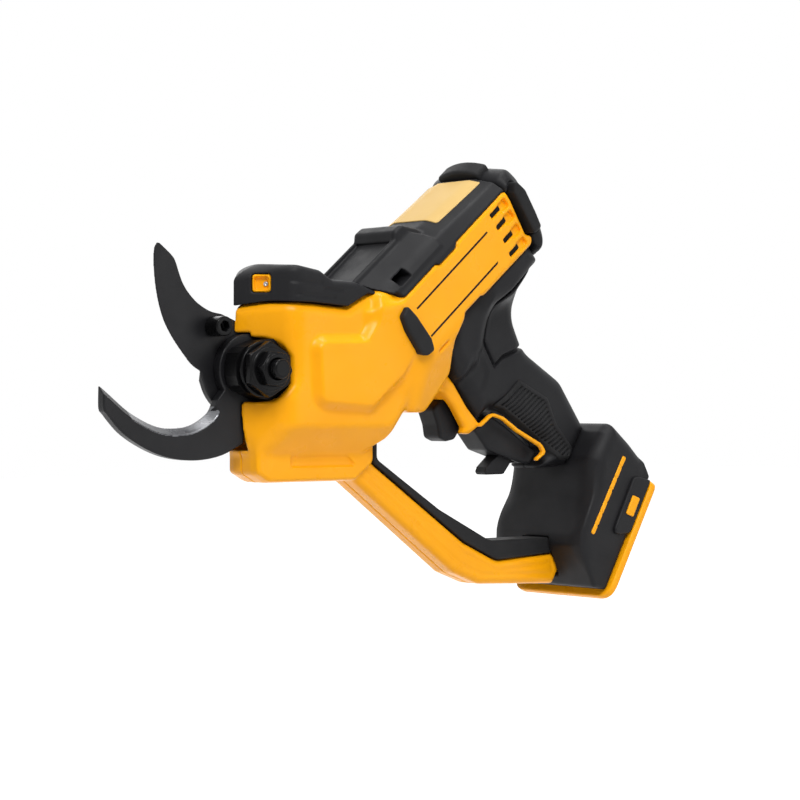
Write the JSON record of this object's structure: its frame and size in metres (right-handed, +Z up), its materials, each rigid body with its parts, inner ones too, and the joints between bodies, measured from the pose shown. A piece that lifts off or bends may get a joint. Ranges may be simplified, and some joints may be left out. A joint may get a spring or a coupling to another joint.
{
  "type": "battery electric pruner",
  "caption": "Pistol-shaped pruning shear: hooked counter blade, swinging cutting blade driven by a motor, hand grip with guard and a slide-on battery foot.",
  "frame": {"origin": "middle of the hand grip, where the palm holds the tool", "axes": "+X from the jaws towards the heel of the battery foot, +Y to the right side of the tool, +Z up with the tool held as in use"},
  "size_m": [0.3353, 0.0778, 0.233],
  "materials": {
    "yellow_plastic": "satin moulded",
    "black_plastic": "fine-grained moulded",
    "dark_plastic": "plain moulded",
    "black_rubber": "soft overmould",
    "coated_steel": "matte low-friction coating",
    "steel": "ground",
    "black_oxide": "black oxide",
    "cast_alloy": "as cast",
    "circuit_board": "coated board"
  },
  "bodies": {
    "frame": {"left_housing": "yellow_plastic", "right_housing": "yellow_plastic", "nose_cap": "black_plastic", "motor_cover": "black_plastic", "rear_cap": "black_plastic", "top_bumper": "black_rubber", "left_front_bumper": "black_rubber", "right_front_bumper": "black_rubber", "left_rear_bumper": "black_rubber", "right_rear_bumper": "black_rubber", "left_grip": "black_plastic", "right_grip": "black_plastic", "left_grip_panel": "black_rubber", "right_grip_panel": "black_rubber", "foot_housing": "black_plastic", "foot_base": "yellow_plastic", "terminal_block": "dark_plastic", "left_accent_strip": "yellow_plastic", "right_accent_strip": "yellow_plastic", "left_hook_boss": "black_plastic", "right_hook_boss": "black_plastic", "left_hook_insert": "yellow_plastic", "right_hook_insert": "yellow_plastic", "guard_lining": "black_rubber", "counter_blade": "coated_steel", "pivot_bolt": "black_oxide", "pivot_washer": "black_oxide", "pivot_nut": "black_oxide", "lock_nut": "black_oxide", "gear_case": "cast_alloy", "side_plate": "cast_alloy", "reduction_stage": "cast_alloy", "motor_can": "steel", "control_board": "circuit_board", "switch_block": "dark_plastic", "case_screw_1": "black_oxide", "case_screw_2": "black_oxide", "case_screw_3": "black_oxide", "case_screw_4": "black_oxide"},
    "cutting_jaw": {"cutting_blade": "coated_steel", "sector_gear": "steel", "blade_screw": "black_oxide"},
    "pinion": {"output_pinion": "steel"},
    "rotor": {"motor_fan": "dark_plastic"},
    "upper_trigger_body": {"upper_trigger": "black_plastic"},
    "lower_trigger_body": {"lower_trigger": "black_plastic"},
    "catch_body": {"lock_catch": "black_plastic"}
  },
  "joints": [
    {"name": "blade_swing", "type": "hinge", "parent": "frame", "child": "cutting_jaw", "pos_m": [-0.18, 0, 0.016], "axis": [0, -1, 0], "range_deg": [0, 62]},
    {"name": "pinion_spin", "type": "hinge", "parent": "frame", "child": "pinion", "pos_m": [-0.116, 0, 0.016], "axis": [0, -1, 0], "range_deg": [-150, 3]},
    {"name": "rotor_spin", "type": "hinge", "parent": "frame", "child": "rotor", "pos_m": [-0.116, 0, 0.016], "axis": [0.7547, 0, 0.6561], "range_deg": [-5, 600]},
    {"name": "upper_trigger_pull", "type": "slide", "parent": "frame", "child": "upper_trigger_body", "axis": [0.7547, 0, 0.6561], "range_m": [0, 0.005], "stiffness_N_per_m": 500},
    {"name": "lower_trigger_pull", "type": "slide", "parent": "frame", "child": "lower_trigger_body", "axis": [0.7547, 0, 0.6561], "range_m": [0, 0.005], "stiffness_N_per_m": 500},
    {"name": "catch_tilt", "type": "hinge", "parent": "lower_trigger_body", "child": "catch_body", "pos_m": [-0.0155, 0, -0.0355], "axis": [0, 1, 0], "range_deg": [0, 12], "stiffness_Nm_per_rad": 0.05}
  ],
  "couplings": [
    {"joint": "pinion_spin", "follows": "blade_swing", "ratio": -2.3684},
    {"joint": "rotor_spin", "follows": "blade_swing", "ratio": 9.4737}
  ]
}
